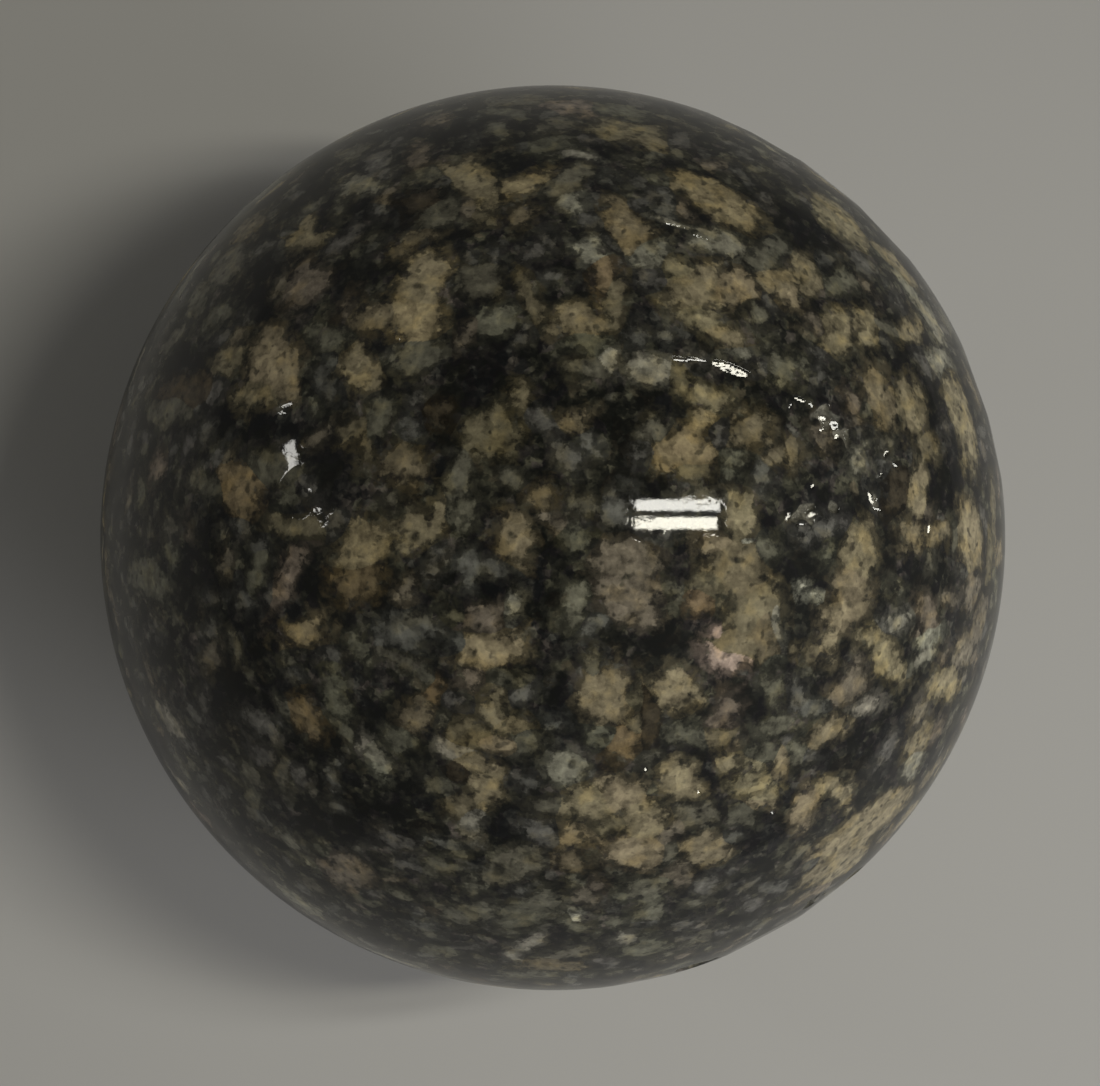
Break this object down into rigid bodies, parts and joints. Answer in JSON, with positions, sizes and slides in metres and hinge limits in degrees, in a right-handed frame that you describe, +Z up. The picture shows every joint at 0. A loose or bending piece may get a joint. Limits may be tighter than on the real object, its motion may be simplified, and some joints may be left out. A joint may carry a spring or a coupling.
{
  "type": "polished stone ball",
  "caption": "Solid ball of coarse speckled granite, hand-ground and polished, with faint flats and a few small chips.",
  "frame": {"origin": "lowest point of the ball, where it touches the surface it stands on", "axes": "+Z up through the centre of the ball; +X and +Y are level, and no direction around Z is special"},
  "size_m": [0.1, 0.1, 0.1],
  "materials": {
    "polished_granite": "polished"
  },
  "bodies": {
    "root": {"stone_ball": "polished_granite"}
  },
  "joints": []
}
